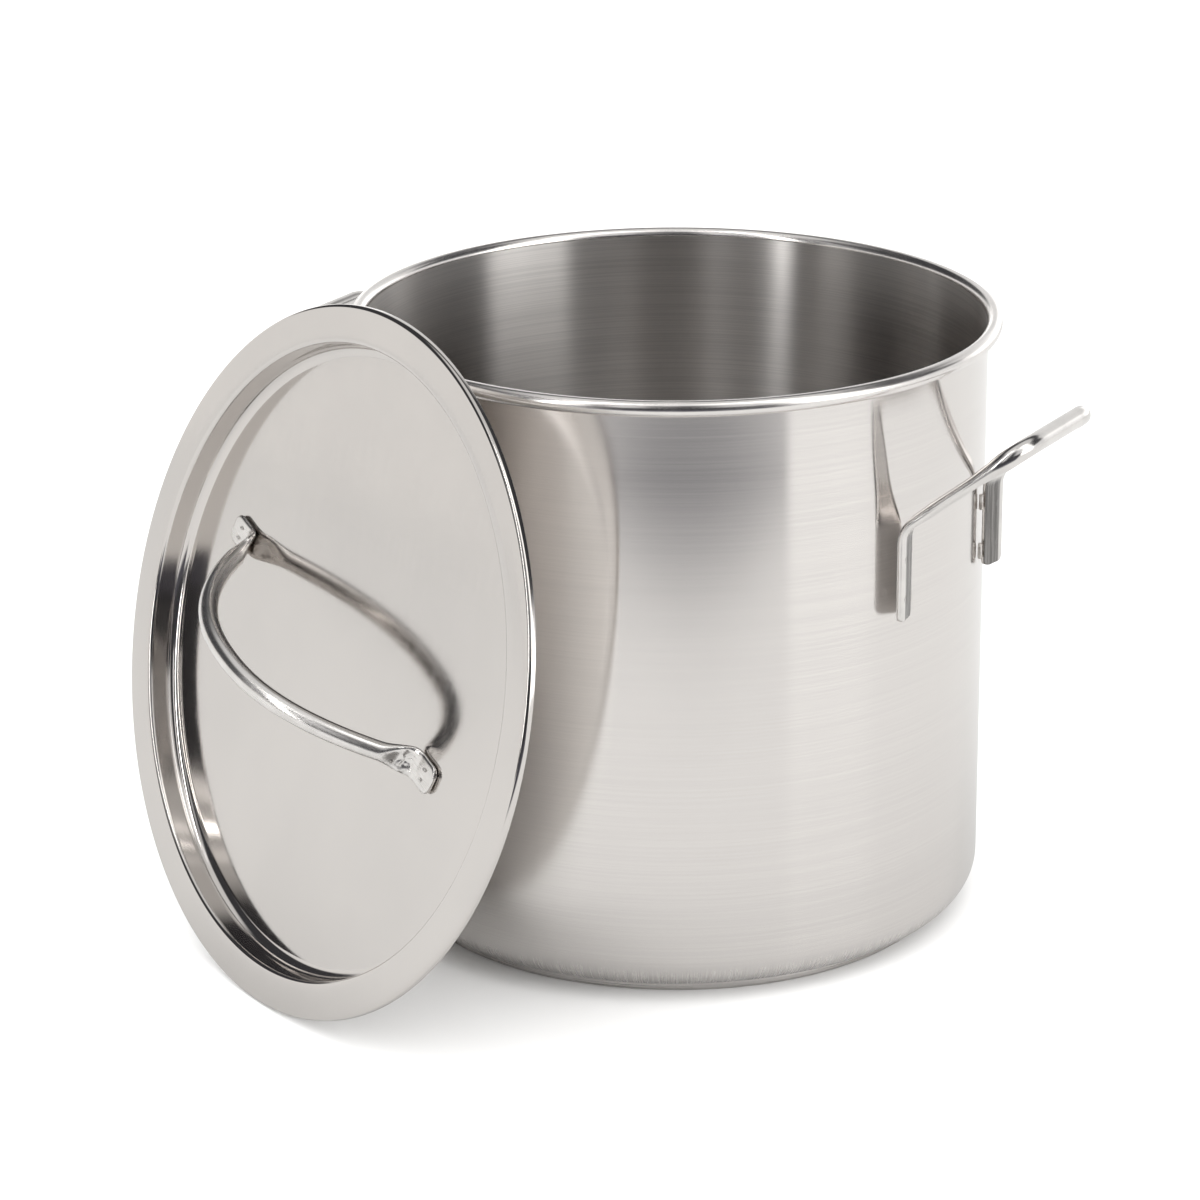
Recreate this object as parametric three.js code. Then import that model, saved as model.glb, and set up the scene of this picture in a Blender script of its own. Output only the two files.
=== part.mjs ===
// A restaurant stock pot with its loose lid leaning on the rim, in millimetres, +Z up.
// The origin is the middle of the pot's base, on the surface that it stands on.
// The two lifting handles are along X. The lid stands on its edge and leans on the rim.

import * as THREE from "three";

const rad = THREE.MathUtils.degToRad;

// Pot
const wallRadius = 140; // outside of the wall
const potHeight = 277.5; // top of the rolled rim
const sheet = 0.8;
const baseHeight = 4.8; // underside of the drawn bottom, above the surface
const cornerRadius = 17; // outside, where the bottom turns up into the wall
const beadRadius = 3.5; // the rolled rim, outside
const beadOpening = 55; // degrees of the roll that stay open, next to the wall

// Bonded base
const capRadius = 124.5;
const capEdgeRadius = 2;
const gap = 0.3; // between pieces that touch

// Lifting handles, made of round tube with flattened ends
const tubeRadius = 4.3;
const tabHalfWidth = 6.7;
const tabHalfThickness = 1.9;
const tabBottom = 168;
const tabTop = 210;
const tabReach = 138.7; // from the pot's axis to the middle of the tab
const tabSpread = 43; // from the handle's middle plane to the middle of the tab
const gripReach = 188.3;
const gripSpread = 35;
const gripRise = 39.7; // of the grip over the top of the tab
const tabBend = 12;
const gripBend = 16;
const opening = 0.58; // how far the flattened tube has opened between its two bends
const weldHeights = [176, 199];
const weldRadius = 1.1;
const weldLength = 6;

// Lid
const lidSheet = 0.9;
const lidRadius = 154.8;
const lipDepth = 3.3;
const lipBend = 1.8;
const lidStepRadius = 137.8; // inside of the step that drops into the pot
const recessDepth = 13.5;
const recessFillet = 5;
const flangeBend = 2;
const lidLean = 13.9; // degrees that the lid leans back
const lidSide = -23.8; // degrees from -Y, towards -X, of the place where it leans

// Lid handle, also a tube with flattened ends
const archSpan = 163;
const archHeight = 51.4;
const archPower = 2.24; // how square the arch is
const archTilt = -6; // degrees
const archTurn = -19.4; // degrees in the lid's plane
const archShift = -9;
const lidTabLength = 16;
const lidTabHalfWidth = 6.9;
const lidTabHalfThickness = 1.2;
const lidSpotRadius = 1.6;
const lidSpotHeight = 0.5;

const roundSteps = 60;
const tubeSides = 12;

function steel(color, roughness) {
  return new THREE.MeshStandardMaterial({ color, roughness, metalness: 1 });
}

function piece(name, geometry, material) {
  const mesh = new THREE.Mesh(geometry, material);
  mesh.name = name;
  return mesh;
}

function arcPoints(x, y, radius, from, to, steps) {
  const points = [];
  for (let i = 0; i <= steps; i++) {
    const angle = rad(from + ((to - from) * i) / steps);
    points.push(new THREE.Vector2(x + radius * Math.cos(angle), y + radius * Math.sin(angle)));
  }
  return points;
}

// The two faces of a bent sheet, from its middle line
function sheetOutline(middle, thickness) {
  const front = [];
  const back = [];
  middle.forEach((point, i) => {
    const before = middle[Math.max(i - 1, 0)];
    const after = middle[Math.min(i + 1, middle.length - 1)];
    const along = after.clone().sub(before).normalize();
    const side = new THREE.Vector2(along.y, -along.x).multiplyScalar(thickness / 2);
    if (i === 0) side.set(0, -thickness / 2);
    front.push(point.clone().add(side));
    back.push(point.clone().sub(side));
  });
  return front.concat(back.reverse());
}

function turned(outline, steps = roundSteps) {
  return new THREE.LatheGeometry(outline, steps).rotateX(Math.PI / 2);
}

function potBody() {
  const half = sheet / 2;
  const wall = wallRadius - half;
  const bend = cornerRadius - half;
  const bottom = baseHeight + half;
  const roll = beadRadius - half;
  const middle = [
    new THREE.Vector2(0, bottom),
    ...arcPoints(wall - bend, bottom + bend, bend, -90, 0, 6),
    ...arcPoints(wall + roll, potHeight - beadRadius, roll, 180, beadOpening - 180, 13),
  ];
  return piece("pot_body", turned(sheetOutline(middle, sheet)), steel(0xc9c8c4, 0.28));
}

function baseCap() {
  const half = sheet / 2;
  const bend = capEdgeRadius - half;
  const middle = [
    new THREE.Vector2(0, half),
    ...arcPoints(capRadius - capEdgeRadius, capEdgeRadius, bend, -90, 0, 4),
    new THREE.Vector2(capRadius - half, baseHeight - gap),
  ];
  return piece("base_cap", turned(sheetOutline(middle, sheet)), steel(0xc4c3bf, 0.32));
}

function baseCore() {
  const radius = capRadius - sheet - gap;
  const low = sheet + gap;
  const outline = [
    new THREE.Vector2(0, low),
    new THREE.Vector2(radius - capEdgeRadius, low),
    new THREE.Vector2(radius, low + capEdgeRadius),
    new THREE.Vector2(radius, baseHeight - gap),
    new THREE.Vector2(0, baseHeight - gap),
  ];
  return piece("base_core", turned(outline), steel(0xb8babd, 0.5));
}

// A circular bend between two straight stretches
class Bend extends THREE.Curve {
  constructor(before, corner, after, radius) {
    super();
    const inwards = corner.clone().sub(before).normalize();
    const onwards = after.clone().sub(corner).normalize();
    const half = inwards.angleTo(onwards) / 2;
    this.angle = half * 2;
    this.start = corner.clone().addScaledVector(inwards, -radius * Math.tan(half));
    this.end = corner.clone().addScaledVector(onwards, radius * Math.tan(half));
    this.along = inwards.clone().multiplyScalar(radius);
    this.across = onwards.clone().addScaledVector(inwards, -inwards.dot(onwards)).setLength(radius);
  }

  getPoint(t, target = new THREE.Vector3()) {
    const turn = this.angle * t;
    target.copy(this.start).addScaledVector(this.along, Math.sin(turn));
    return target.addScaledVector(this.across, 1 - Math.cos(turn));
  }
}

function bentRoute(points, radii) {
  const route = new THREE.CurvePath();
  let from = points[0];
  for (let i = 1; i < points.length - 1; i++) {
    const bend = new Bend(points[i - 1], points[i], points[i + 1], radii[i - 1]);
    route.add(new THREE.LineCurve3(from, bend.start));
    route.add(bend);
    from = bend.end;
  }
  route.add(new THREE.LineCurve3(from, points.at(-1)));
  return route;
}

// A bar along a route. Its section at each place is between round and flattened.
function bar(route, facing, steps, section) {
  const geometry = new THREE.CylinderGeometry(1, 1, 1, tubeSides, steps);
  const frames = [];
  const thin = facing.clone();
  let last = route.getTangentAt(0);
  for (let i = 0; i <= steps; i++) {
    const tangent = route.getTangentAt(i / steps);
    thin.applyQuaternion(new THREE.Quaternion().setFromUnitVectors(last, tangent)).normalize();
    const wide = new THREE.Vector3().crossVectors(thin, tangent);
    frames.push({ middle: route.getPointAt(i / steps), thin: thin.clone(), wide, ...section(i / steps) });
    last = tangent;
  }
  const place = geometry.attributes.position;
  for (let i = 0; i < place.count; i++) {
    const frame = frames[Math.round((0.5 - place.getY(i)) * steps)];
    const across = place.getX(i);
    const up = place.getZ(i);
    const square = (value) => Math.sign(value) * Math.abs(value) ** (1 - frame.flat * 0.45);
    const point = frame.middle.clone();
    point.addScaledVector(frame.wide, frame.halfWidth * square(across));
    point.addScaledVector(frame.thin, frame.halfThickness * square(up));
    place.setXYZ(i, point.x, point.y, point.z);
  }
  return geometry;
}

function flattened(flat, halfWidth, halfThickness) {
  return {
    flat,
    halfWidth: THREE.MathUtils.lerp(tubeRadius, halfWidth, flat),
    halfThickness: THREE.MathUtils.lerp(tubeRadius, halfThickness, flat),
  };
}

function liftingHandle(name) {
  const corners = [
    new THREE.Vector3(tabReach, -tabSpread, tabBottom),
    new THREE.Vector3(tabReach, -tabSpread, tabTop),
    new THREE.Vector3(gripReach, -gripSpread, tabTop + gripRise),
    new THREE.Vector3(gripReach, gripSpread, tabTop + gripRise),
    new THREE.Vector3(tabReach, tabSpread, tabTop),
    new THREE.Vector3(tabReach, tabSpread, tabBottom),
  ];
  const route = bentRoute(corners, [tabBend, gripBend, gripBend, tabBend]);
  const facing = corners[2].clone().sub(corners[1]).setZ(0).normalize();
  const length = route.getLength();
  const section = (t) => {
    const fromEnd = Math.min(t, 1 - t) * length;
    const opened = opening * THREE.MathUtils.smoothstep(fromEnd, 36, 62);
    const rounded = (1 - opening) * THREE.MathUtils.smoothstep(fromEnd, 74, 98);
    return flattened(1 - opened - rounded, tabHalfWidth, tabHalfThickness);
  };
  return piece(name, bar(route, facing, 44, section), steel(0xd2d1cd, 0.16));
}

function handleWelds(name) {
  const welds = [];
  const spread = tabSpread - tabHalfWidth - weldRadius - 2 * gap;
  const reach = Math.sqrt((wallRadius + weldRadius + gap) ** 2 - spread ** 2);
  for (const side of [-1, 1]) {
    for (const height of weldHeights) {
      const shape = new THREE.CapsuleGeometry(weldRadius, weldLength, 2, 8).rotateX(Math.PI / 2);
      const weld = piece(`${name}_${welds.length + 1}`, shape, steel(0xb4b2ad, 0.4));
      weld.position.set(reach, side * spread, height);
      welds.push(weld);
    }
  }
  return welds;
}

function lidPanel() {
  const half = lidSheet / 2;
  const fillet = recessFillet + half;
  const step = lidStepRadius + half;
  const flange = flangeBend - half;
  const lip = lipBend - half;
  const middle = [
    new THREE.Vector2(0, -recessDepth - half),
    ...arcPoints(step - fillet, fillet - recessDepth - half, fillet, -90, 0, 5),
    ...arcPoints(step + flange, -flangeBend, flange, 180, 90, 3),
    ...arcPoints(lidRadius - lipBend, -lipBend, lip, 90, 0, 3),
    new THREE.Vector2(lidRadius - half, -lipDepth),
  ];
  return piece("lid_panel", turned(sheetOutline(middle, lidSheet)), steel(0xcfcdc7, 0.2));
}

function archRoute() {
  const points = [];
  const half = archSpan / 2;
  const foot = lidTabHalfThickness + gap;
  for (const reach of [lidTabLength, lidTabLength * 0.5, lidTabLength * 0.18]) {
    points.push(new THREE.Vector3(-half - reach, 0, foot));
  }
  for (let i = 1; i < 24; i++) {
    const x = -half * Math.cos((Math.PI * i) / 24);
    const height = archHeight * (1 - Math.abs(x / half) ** archPower);
    const lean = rad(archTilt);
    points.push(new THREE.Vector3(x, height * Math.sin(lean), foot + height * Math.cos(lean)));
  }
  for (const reach of [lidTabLength * 0.18, lidTabLength * 0.5, lidTabLength]) {
    points.push(new THREE.Vector3(half + reach, 0, foot));
  }
  return new THREE.CatmullRomCurve3(points, false, "centripetal");
}

function lidHandle() {
  const route = archRoute();
  const length = route.getLength();
  const section = (t) => {
    const fromEnd = Math.min(t, 1 - t) * length;
    const flat = 1 - THREE.MathUtils.smoothstep(fromEnd, lidTabLength + 1, lidTabLength + 16);
    return flattened(flat, lidTabHalfWidth, lidTabHalfThickness);
  };
  const facing = new THREE.Vector3(0, 0, 1);
  return piece("lid_handle", bar(route, facing, 52, section), steel(0xd0ceca, 0.16));
}

function lidWelds() {
  const welds = [];
  const top = 2 * lidTabHalfThickness + 2 * gap + lidSpotHeight / 2;
  for (const end of [-1, 1]) {
    for (const side of [-1, 1]) {
      const shape = new THREE.CylinderGeometry(lidSpotRadius * 0.7, lidSpotRadius, lidSpotHeight, 12);
      const weld = piece(`lid_weld_${welds.length + 1}`, shape.rotateX(Math.PI / 2), steel(0xb4b2ad, 0.35));
      weld.position.set(end * (archSpan / 2 + lidTabLength * 0.55), side * 2.6, top);
      welds.push(weld);
    }
  }
  return welds;
}

// The lid's own frame has its outside face's normal along Z and is level along X
function leaningLid() {
  const side = rad(lidSide);
  const lean = rad(lidLean);
  const outwards = new THREE.Vector3(Math.sin(side), -Math.cos(side), 0);
  const normal = outwards.clone().multiplyScalar(Math.cos(lean)).setZ(Math.sin(lean));
  const level = new THREE.Vector3(Math.cos(side), Math.sin(side), 0);
  const upwards = new THREE.Vector3().crossVectors(normal, level);

  // The back of the recess meets the rolled rim, and the lip stands on the surface
  const beadReach = wallRadius - sheet + beadRadius;
  const beadTop = potHeight - beadRadius;
  const support = Math.cos(lean) * beadReach + Math.sin(lean) * beadTop + beadRadius;
  const distance = support + gap + recessDepth + lidSheet;
  const height = lidRadius * Math.cos(lean) + lipDepth * Math.sin(lean);
  const reach = (distance - Math.sin(lean) * height) / Math.cos(lean);

  const handle = new THREE.Group();
  handle.add(lidHandle(), ...lidWelds());
  handle.rotation.z = rad(archTurn);
  handle.position.set(archShift * Math.cos(rad(archTurn)), archShift * Math.sin(rad(archTurn)), -recessDepth);

  const lid = new THREE.Group();
  lid.add(lidPanel(), handle);
  lid.quaternion.setFromRotationMatrix(new THREE.Matrix4().makeBasis(level, upwards, normal));
  lid.position.copy(outwards.multiplyScalar(reach)).setZ(height);
  return lid;
}

const pot = new THREE.Group();
pot.add(potBody(), baseCore(), baseCap());

for (const [name, turn] of [["right", 0], ["left", Math.PI]]) {
  const side = new THREE.Group();
  side.add(liftingHandle(`side_handle_${name}`), ...handleWelds(`weld_${name}`));
  side.rotation.z = turn;
  pot.add(side);
}

const stockPot = new THREE.Group();
stockPot.add(pot, leaningLid());

export default stockPot;
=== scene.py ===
# A restaurant stock pot with its loose lid leaning on the rim.
# Metres, +Z up. The origin is the middle of the pot's base, on the surface it stands on.
import math

import bmesh
import bpy
from mathutils import Matrix, Vector


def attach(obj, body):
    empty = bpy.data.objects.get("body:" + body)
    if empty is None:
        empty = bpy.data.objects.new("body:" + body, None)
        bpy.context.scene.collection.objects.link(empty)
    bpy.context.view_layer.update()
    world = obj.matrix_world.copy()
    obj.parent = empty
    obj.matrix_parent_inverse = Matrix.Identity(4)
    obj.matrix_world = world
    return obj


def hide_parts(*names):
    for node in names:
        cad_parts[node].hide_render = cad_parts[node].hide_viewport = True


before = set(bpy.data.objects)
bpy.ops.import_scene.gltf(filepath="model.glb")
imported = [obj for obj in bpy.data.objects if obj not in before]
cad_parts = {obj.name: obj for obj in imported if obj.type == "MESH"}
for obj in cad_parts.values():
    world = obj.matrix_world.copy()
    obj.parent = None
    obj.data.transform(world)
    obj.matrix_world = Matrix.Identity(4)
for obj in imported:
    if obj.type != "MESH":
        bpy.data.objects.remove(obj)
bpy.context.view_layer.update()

mm = 0.001
print("frame loaded:", len(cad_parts), "CAD nodes")


# small helpers for node trees

def feed(tree, socket, value):
    if isinstance(value, bpy.types.NodeSocket):
        tree.links.new(value, socket)
    else:
        socket.default_value = value


def put(tree, kind, inputs=None, **settings):
    node = tree.nodes.new(kind)
    for name, value in settings.items():
        setattr(node, name, value)
    for key, value in (inputs or {}).items():
        feed(tree, node.inputs[key], value)
    return node


def calc(tree, operation, *values):
    return put(tree, "ShaderNodeMath", dict(enumerate(values)), operation=operation).outputs[0]


def vectorCalc(tree, operation, *values):
    return put(tree, "ShaderNodeVectorMath", dict(enumerate(values)), operation=operation).outputs[0]


def scaled(tree, vector, factor):
    node = put(tree, "ShaderNodeVectorMath", {0: vector}, operation="SCALE")
    feed(tree, node.inputs["Scale"], factor)
    return node.outputs[0]


def ramped(tree, value, low, high, outLow=0.0, outHigh=1.0):
    node = put(tree, "ShaderNodeMapRange", interpolation_type="SMOOTHSTEP")
    for socket, given in zip(node.inputs, (value, low, high, outLow, outHigh)):
        feed(tree, socket, given)
    return node.outputs[0]


# finishes

def newFinish(name, baseColor, roughness, anisotropy=0.0):
    finish = bpy.data.materials.new(name)
    finish.use_nodes = True
    tree = finish.node_tree
    tree.nodes.clear()
    shader = put(tree, "ShaderNodeBsdfPrincipled")
    shader.inputs["Base Color"].default_value = (*baseColor, 1)
    shader.inputs["Metallic"].default_value = 1.0
    shader.inputs["Roughness"].default_value = roughness
    shader.inputs["Anisotropic"].default_value = anisotropy
    shader.inputs["Anisotropic Rotation"].default_value = 0.25 if anisotropy else 0.0  # across the lines
    output = put(tree, "ShaderNodeOutputMaterial")
    tree.links.new(shader.outputs[0], output.inputs["Surface"])
    return finish, tree, shader


def placeVector(tree, attribute=None):
    if attribute:
        return put(tree, "ShaderNodeAttribute", attribute_name=attribute).outputs["Vector"]
    return put(tree, "ShaderNodeTexCoord").outputs["Object"]


def grain(tree, place, stretch, detail=2.0, roughness=0.55, scale=1.0):
    # noise with so many waves per metre along each axis
    mapped = put(tree, "ShaderNodeMapping", {"Vector": place, "Scale": stretch})
    noise = put(tree, "ShaderNodeTexNoise", {"Vector": mapped.outputs[0], "Scale": scale})
    noise.inputs["Detail"].default_value = detail
    noise.inputs["Roughness"].default_value = roughness
    return noise.outputs["Fac"]


def tinted(tree, value, dark, light, low=0.35, high=0.65):
    factor = ramped(tree, value, low, high)
    mix = put(tree, "ShaderNodeMix", data_type="RGBA")
    feed(tree, mix.inputs[0], factor)
    mix.inputs[6].default_value = (*dark, 1)
    mix.inputs[7].default_value = (*light, 1)
    return mix.outputs[2]


def blended(tree, factor, color, other):
    mix = put(tree, "ShaderNodeMix", data_type="RGBA")
    feed(tree, mix.inputs[0], factor)
    feed(tree, mix.inputs[6], color)
    mix.inputs[7].default_value = (*other, 1)
    return mix.outputs[2]


def bumped(tree, height, strength, distance, normal=None):
    bump = put(tree, "ShaderNodeBump", {"Height": height, "Strength": strength, "Distance": distance})
    if normal:
        feed(tree, bump.inputs["Normal"], normal)
    return bump.outputs[0]


def roundTangent(tree, shader, uvName):
    tangent = put(tree, "ShaderNodeTangent", direction_type="UV_MAP", uv_map=uvName)
    feed(tree, shader.inputs["Tangent"], tangent.outputs[0])


brushing = {
    "outside": ((0.675, 0.648, 0.628), (0.715, 0.685, 0.662)),
    "outsideRoughness": (0.115, 0.14),
    "inside": ((0.58, 0.56, 0.545), (0.66, 0.635, 0.615)),
    "insideRoughness": (0.28, 0.32),
    "anisotropy": 1.0,
    "linesAround": 7.0,
    "linesUp": 1700.0,
    "lineDepth": 0.001 * mm,
}


def wallFinish(name, colors, roughness, anisotropy):
    finish, tree, shader = newFinish(name, colors[0], roughness[0], anisotropy)
    place = placeVector(tree)
    lines = grain(tree, place, (brushing["linesAround"],) * 2 + (brushing["linesUp"],), 3.0, 0.6)
    bands = grain(tree, place, (2.0, 2.0, 160.0), 2.0)
    patches = grain(tree, place, (14.0, 14.0, 9.0), 3.0)
    mixed = calc(tree, "MULTIPLY_ADD", lines, 0.85, calc(tree, "MULTIPLY", bands, 0.15))
    feed(tree, shader.inputs["Base Color"], tinted(tree, mixed, *colors, 0.38, 0.62))
    rough = ramped(tree, calc(tree, "MULTIPLY_ADD", lines, 0.5, calc(tree, "MULTIPLY", patches, 0.5)),
                   0.35, 0.65, *roughness)
    feed(tree, shader.inputs["Roughness"], rough)
    feed(tree, shader.inputs["Normal"], bumped(tree, lines, 0.35, brushing["lineDepth"]))
    roundTangent(tree, shader, "turn")
    return finish


cornerMarks = {
    "size": 230.0,
    "stretch": 0.15,
    "fade": (12 * mm, 19 * mm),
    "colors": ((0.63, 0.603, 0.585), (0.75, 0.72, 0.7)),
    "roughness": (0.2, 0.3),
    "anisotropy": 0.3,
    "depth": 0.01 * mm,
}


def cornerFinish(name):
    # the bottom bend, where the drawing die has left fine upright marks
    colors, roughness = cornerMarks["colors"], cornerMarks["roughness"]
    finish, tree, shader = newFinish(name, colors[0], roughness[0], cornerMarks["anisotropy"])
    place = placeVector(tree)
    level = vectorCalc(tree, "NORMALIZE", vectorCalc(tree, "MULTIPLY", place, (1.0, 1.0, 0.0)))
    upright = vectorCalc(tree, "MULTIPLY_ADD", place, (0.0, 0.0, cornerMarks["stretch"]), level)
    marks = grain(tree, upright, (cornerMarks["size"],) * 3, 3.0, 0.65)
    lines = grain(tree, place, (9.0, 9.0, 1500.0), 3.0, 0.6)
    height = put(tree, "ShaderNodeSeparateXYZ", {0: place}).outputs[2]
    low = ramped(tree, height, *cornerMarks["fade"], 1.0, 0.0)
    marks = calc(tree, "MULTIPLY_ADD", calc(tree, "SUBTRACT", marks, 0.5), low, 0.5)
    feed(tree, shader.inputs["Base Color"], tinted(tree, marks, *colors))
    feed(tree, shader.inputs["Roughness"], ramped(tree, marks, 0.3, 0.7, *roughness))
    relief = calc(tree, "ADD", marks, calc(tree, "MULTIPLY", lines, 0.3))
    feed(tree, shader.inputs["Normal"], bumped(tree, relief, 0.3, cornerMarks["depth"]))
    roundTangent(tree, shader, "turn")
    return finish


def polishFinish(name, colors, roughness):
    finish, tree, shader = newFinish(name, colors[0], roughness[0])
    place = placeVector(tree)
    haze = grain(tree, place, (40.0, 40.0, 40.0), 3.0)
    scratches = grain(tree, place, (60.0, 60.0, 900.0), 2.0)
    feed(tree, shader.inputs["Base Color"], tinted(tree, haze, *colors))
    feed(tree, shader.inputs["Roughness"], ramped(tree, calc(tree, "MULTIPLY_ADD", scratches, 0.5,
         calc(tree, "MULTIPLY", haze, 0.5)), 0.35, 0.65, *roughness))
    return finish


tabDentsAndPaintedLight = {
    "length": 38 * mm,
    "soft": 6 * mm,
    "paintedDarkFrom": (3.6 * mm, 2.2 * mm),  # from the tab's outer edge inwards
    "paintedDarkSide": (0.1 * mm, 0.5 * mm),
    "paintedDarkRoughness": 0.3,
    "streaks": (900.0, 900.0, 30.0),
    "streakLow": 0.75,
    # painted dark reflection on the tab's pressed outward face
    "paintedDarkColor": (0.14, 0.135, 0.13),
    "backSide": (-0.5 * mm, -1.2 * mm),
    # painted light: a pale colour that brightens the tab's back
    "paintedLightBackColor": (0.93, 0.92, 0.91),
    "backRoughness": 0.55,
    "dents": (10 * mm, 28 * mm),
    "dentAcross": 2.6 * mm,
    "dentRadius": 2.4 * mm,
    "dentFloor": 0.35,
    "dentDepth": 0.25 * mm,
}


crumpledNeck = {"from": 16 * mm, "to": 21 * mm, "soft": 4 * mm, "size": 260.0, "depth": 1.2 * mm}


def tubeFinish(name, colors, roughness, tabs=None, neck=None):
    # polished tube with lines drawn along it, read from the tube's own coordinates
    finish, tree, shader = newFinish(name, colors[0], roughness[0])
    place = placeVector(tree, "own")
    drawn = grain(tree, place, (420.0, 420.0, 18.0), 3.0, 0.6)
    haze = grain(tree, place, (90.0, 90.0, 70.0), 3.0)
    color = tinted(tree, haze, *colors)
    rough = ramped(tree, drawn, 0.3, 0.7, *roughness)
    normal = bumped(tree, drawn, 0.3, 0.006 * mm)
    across, outwards, fromEnd = put(tree, "ShaderNodeSeparateXYZ", {0: place}).outputs
    if neck:
        near = calc(tree, "MULTIPLY", ramped(tree, fromEnd, neck["from"] - neck["soft"], neck["from"]),
                    ramped(tree, fromEnd, neck["to"], neck["to"] + neck["soft"], 1.0, 0.0))
        folds = grain(tree, place, (neck["size"],) * 3, 1.0)
        normal = bumped(tree, calc(tree, "MULTIPLY", near, folds), 0.9, neck["depth"], normal)
    if tabs:
        flat = ramped(tree, fromEnd, tabs["length"], tabs["length"] + tabs["soft"], 1.0, 0.0)
        # the pressed outward face gets a painted dark reflection but for its outer edge, and the back is
        # left matt with a pale colour that is painted light
        paintedDark = calc(tree, "MULTIPLY", ramped(tree, across, *tabs["paintedDarkFrom"]),
                    ramped(tree, outwards, *tabs["paintedDarkSide"]))
        streaks = ramped(tree, grain(tree, place, tabs["streaks"], 2.0), 0.3, 0.7, tabs["streakLow"], 1.0)
        paintedDark = calc(tree, "MULTIPLY", calc(tree, "MULTIPLY", paintedDark, flat), streaks)
        back = calc(tree, "MULTIPLY", ramped(tree, outwards, *tabs["backSide"]), flat)
        # paints the dark reflection onto the outward face
        color = blended(tree, paintedDark, color, tabs["paintedDarkColor"])
        # paints light onto the back as a pale colour
        color = blended(tree, back, color, tabs["paintedLightBackColor"])
        rough = calc(tree, "MAXIMUM", rough, calc(tree, "MULTIPLY", back, tabs["backRoughness"]))
        rough = calc(tree, "MAXIMUM", rough, calc(tree, "MULTIPLY", paintedDark, tabs["paintedDarkRoughness"]))
        for height in tabs["dents"]:
            spot = put(tree, "ShaderNodeCombineXYZ", {0: tabs["dentAcross"], 1: outwards, 2: height})
            away = put(tree, "ShaderNodeVectorMath", {0: place, 1: spot.outputs[0]}, operation="DISTANCE")
            radius = tabs["dentRadius"]
            dent = ramped(tree, away.outputs["Value"], radius * tabs["dentFloor"], radius)
            normal = bumped(tree, dent, 0.8, tabs["dentDepth"], normal)
    feed(tree, shader.inputs["Base Color"], color)
    feed(tree, shader.inputs["Roughness"], rough)
    feed(tree, shader.inputs["Normal"], normal)
    return finish


def lidFinish(name, colors, roughness):
    finish, tree, shader = newFinish(name, colors[0], roughness[0])
    place = placeVector(tree, "own")
    haze = grain(tree, place, (11.0, 11.0, 11.0), 4.0)
    rolled = grain(tree, place, (30.0, 900.0, 30.0), 2.0, 0.6)
    wiped = grain(tree, place, (240.0, 60.0, 60.0), 3.0)
    feed(tree, shader.inputs["Base Color"], tinted(tree, haze, *colors))
    feed(tree, shader.inputs["Roughness"], ramped(tree, calc(tree, "MULTIPLY_ADD", rolled, 0.4,
         calc(tree, "MULTIPLY", wiped, 0.6)), 0.35, 0.65, *roughness))
    feed(tree, shader.inputs["Normal"], bumped(tree, rolled, 0.06, 0.001 * mm))
    return finish


def weldFinish(name, colors):
    finish, tree, shader = newFinish(name, colors[1], 0.35)
    place = placeVector(tree)
    heat = grain(tree, place, (260.0, 260.0, 260.0), 3.0)
    pits = grain(tree, place, (1600.0, 1600.0, 1600.0), 2.0)
    feed(tree, shader.inputs["Base Color"], tinted(tree, heat, *colors))
    feed(tree, shader.inputs["Roughness"], ramped(tree, pits, 0.3, 0.7, 0.25, 0.5))
    feed(tree, shader.inputs["Normal"], bumped(tree, pits, 0.5, 0.05 * mm))
    return finish


def coreFinish(name):
    finish, tree, shader = newFinish(name, (0.72, 0.725, 0.73), 0.45)
    place = placeVector(tree)
    cast = grain(tree, place, (350.0, 350.0, 350.0), 4.0)
    feed(tree, shader.inputs["Base Color"], tinted(tree, cast, (0.62, 0.62, 0.63), (0.76, 0.765, 0.77)))
    feed(tree, shader.inputs["Roughness"], ramped(tree, cast, 0.3, 0.7, 0.38, 0.55))
    feed(tree, shader.inputs["Normal"], bumped(tree, cast, 0.3, 0.03 * mm))
    return finish


outsideSteel = wallFinish("brushedOutside", brushing["outside"], brushing["outsideRoughness"],
                          brushing["anisotropy"])
insideSteel = wallFinish("brushedInside", brushing["inside"], brushing["insideRoughness"],
                         brushing["anisotropy"])
cornerSteel = cornerFinish("drawnCorner")
rimSteel = polishFinish("polishedRim", ((0.72, 0.695, 0.675), (0.78, 0.75, 0.73)), (0.2, 0.27))
# the base cap's colour is paler than the wall's: painted light that lifts the shade at the foot
capSteel = wallFinish("brushedBase", ((0.7, 0.67, 0.65), (0.8, 0.77, 0.75)), (0.24, 0.36), 0.6)
lidSteel = lidFinish("rolledLid", ((0.6, 0.574, 0.552), (0.625, 0.597, 0.573)), (0.085, 0.12))
# the lid's back is satin, and its paler colour is painted light that brightens it where it lies in shade
litLidBackSteel = lidFinish("satinLidBackPaintedLight", ((0.8, 0.775, 0.755), (0.86, 0.835, 0.81)), (0.3, 0.38))
tubeSteel = tubeFinish("polishedTube", ((0.66, 0.64, 0.62), (0.74, 0.715, 0.695)), (0.15, 0.22), tabDentsAndPaintedLight)
satinTubeSteel = tubeFinish("satinTube", ((0.68, 0.66, 0.64), (0.76, 0.735, 0.715)), (0.22, 0.3),
                            neck=crumpledNeck)
weldSteel = weldFinish("weldMetal", ((0.42, 0.38, 0.35), (0.68, 0.66, 0.63)))
spotSteel = weldFinish("spotMetal", ((0.58, 0.56, 0.54), (0.74, 0.72, 0.7)))
coreMetal = coreFinish("castAluminium")
print("finishes made")


# geometry node trees

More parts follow.
